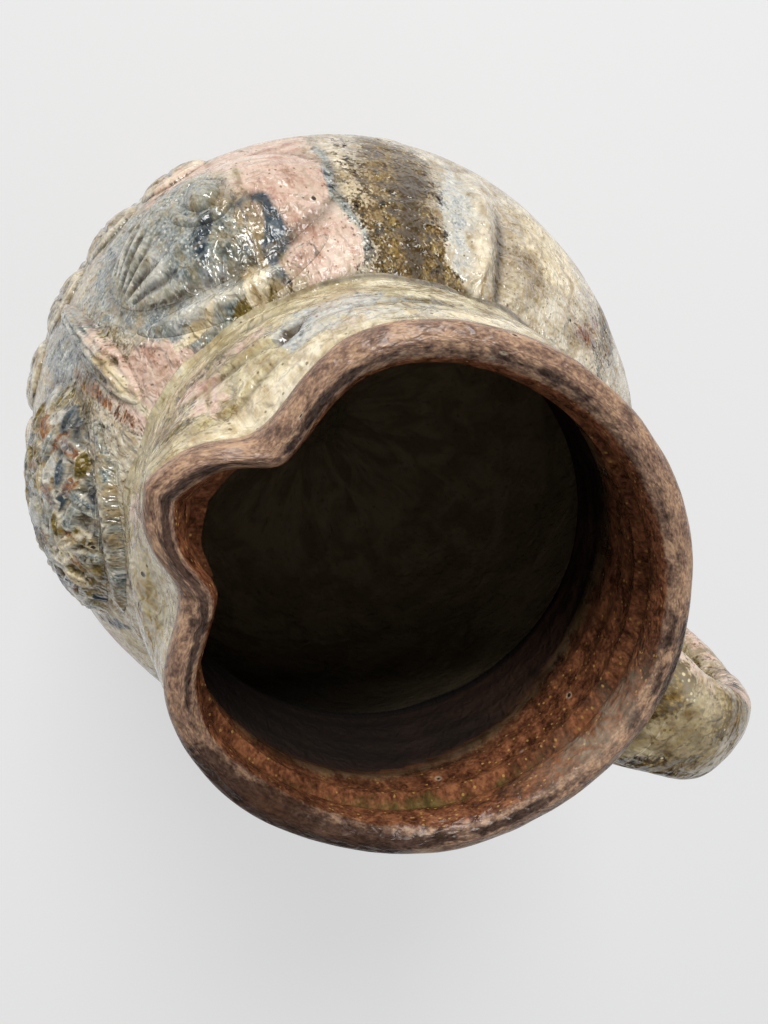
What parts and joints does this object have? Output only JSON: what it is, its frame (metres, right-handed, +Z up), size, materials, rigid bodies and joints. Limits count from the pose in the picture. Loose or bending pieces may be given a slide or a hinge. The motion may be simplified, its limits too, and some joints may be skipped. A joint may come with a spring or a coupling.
{
  "type": "owl pitcher",
  "caption": "Bellied stoneware pitcher with a short neck, pinched pouring lip, strap handle and an owl in clay relief on its front, for holding and pouring drinks.",
  "frame": {"origin": "middle of the flat foot, on the axis of the belly", "axes": "+Z up along the axis of the belly, -Y towards the spout and the owl's face, +Y towards the handle"},
  "size_m": [0.1738, 0.1842, 0.2014],
  "materials": {
    "belly_glaze": "mottled cream, olive and grey-blue ash glaze, half gloss",
    "neck_glaze": "iron-brown lip over cream and olive ash glaze, half gloss",
    "handle_glaze": "cream-beige ash glaze with brown streaks",
    "beak_glaze": "orange-brown ash glaze",
    "face_glaze": "grey-blue glaze running over salmon-pink clay",
    "eye_ring_glaze": "pale grey-blue glaze, worn brown on the crest",
    "eye_pellet_glaze": "dark navy iron glaze, glossy",
    "brow_glaze": "salmon and brown ash glaze",
    "wing_glaze": "cream and taupe ash glaze",
    "feather_glaze": "grey-green and orange ash glaze with cream rims"
  },
  "bodies": {
    "root": {"belly_body": "belly_glaze", "neck_collar": "neck_glaze", "handle": "handle_glaze", "beak": "beak_glaze", "left_face_disc": "face_glaze", "left_eye_ring": "eye_ring_glaze", "left_eye_pellet": "eye_pellet_glaze", "left_brow": "brow_glaze", "left_wing": "wing_glaze", "right_face_disc": "face_glaze", "right_eye_ring": "eye_ring_glaze", "right_eye_pellet": "eye_pellet_glaze", "right_brow": "brow_glaze", "right_wing": "wing_glaze", "breast_feather_1_1": "feather_glaze", "breast_feather_1_2": "feather_glaze", "breast_feather_1_3": "feather_glaze", "breast_feather_1_4": "feather_glaze", "breast_feather_1_5": "feather_glaze", "breast_feather_2_1": "feather_glaze", "breast_feather_2_2": "feather_glaze", "breast_feather_2_3": "feather_glaze", "breast_feather_2_4": "feather_glaze", "breast_feather_3_1": "feather_glaze", "breast_feather_3_2": "feather_glaze", "breast_feather_3_3": "feather_glaze"}
  },
  "joints": []
}
